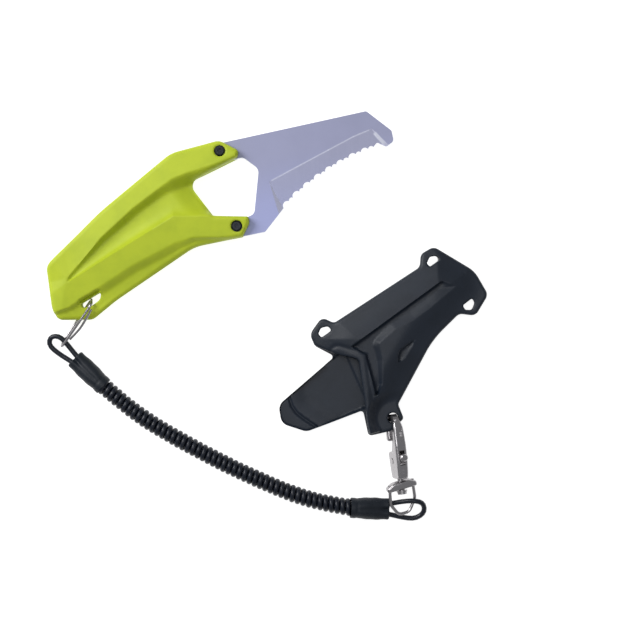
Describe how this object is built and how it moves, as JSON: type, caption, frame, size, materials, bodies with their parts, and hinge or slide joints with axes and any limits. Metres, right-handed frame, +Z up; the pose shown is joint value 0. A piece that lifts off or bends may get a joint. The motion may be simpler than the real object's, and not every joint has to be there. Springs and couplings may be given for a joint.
{
  "type": "rigging knife with sheath and lanyard",
  "caption": "Blunt-tipped serrated rigging knife with a finger-ring handle, a lashing sheath and a coiled lanyard with a swivel snap.",
  "frame": {"origin": "middle of the base of the laid-out knife, sheath, link and snap hook, on the floor", "axes": "+Z up from the floor the set lies on, +X to the right of the layout, +Y away from the lanyard"},
  "size_m": [0.1797, 0.1668, 0.0127],
  "materials": {
    "handle": "fine moulded texture, yellow-green",
    "steel": "bead-blasted satin with ground edge",
    "black_screws": "black oxide",
    "sheath": "fine moulded texture, slate black",
    "cord": "glossy polyurethane cord",
    "sleeve": "satin shrink sleeve",
    "crimp": "plain crimped ferrule",
    "plated": "nickel plate, slightly worn"
  },
  "bodies": {
    "sheath": {"sheath_front": "sheath", "sheath_back": "sheath"},
    "snap": {"snap_body": "plated", "gate_pin": "plated", "gate_spring": "plated", "swivel_stud": "plated", "swivel_washer": "plated"},
    "gate": {"snap_gate": "plated"},
    "bail": {"swivel_strap": "plated", "bail_wire": "plated"},
    "lanyard": {"lanyard_coil": "cord", "cord_loop_knife_end": "cord", "cord_loop_hook_end": "cord", "sleeve_knife_end": "sleeve", "sleeve_hook_end": "sleeve", "ferrule_knife_end": "crimp", "ferrule_hook_end": "crimp"},
    "link": {"link_wire": "plated", "link_latch": "plated"},
    "knife": {"blade": "steel", "handle_front": "handle", "handle_back": "handle", "handle_screws": "black_screws", "barrel_nuts": "black_screws"}
  },
  "joints": [
    {"name": "hook_swing", "type": "hinge", "parent": "sheath", "child": "snap", "pos_m": [0.05077, -0.04225, 0.005], "axis": [0, 0, 1], "range_deg": [-20, 20]},
    {"name": "gate_open", "type": "hinge", "parent": "snap", "child": "gate", "pos_m": [0.05257, -0.0595, 0.0042], "axis": [0.9385, 0.1152, -0.3256], "range_deg": [0, 12], "stiffness_Nm_per_rad": 0.03, "springref_deg": -17.19},
    {"name": "swivel", "type": "hinge", "parent": "snap", "child": "bail", "pos_m": [0.05414, -0.06988, 0.00505], "axis": [-0.1219, 0.9925, 0], "continuous": true},
    {"name": "cord_in_bail", "type": "hinge", "parent": "bail", "child": "lanyard", "pos_m": [0.055, -0.0774, 0.004], "axis": [0, 0, 1], "range_deg": [-8, 8]},
    {"name": "link_in_cord", "type": "hinge", "parent": "lanyard", "child": "link", "pos_m": [-0.0843, -0.01, 0.0034], "axis": [0, 0, 1], "range_deg": [-12, 8]},
    {"name": "knife_on_link", "type": "hinge", "parent": "link", "child": "knife", "pos_m": [-0.07151, 0.0051, 0.006], "axis": [0, 0, -1], "range_deg": [-5, 12]}
  ]
}
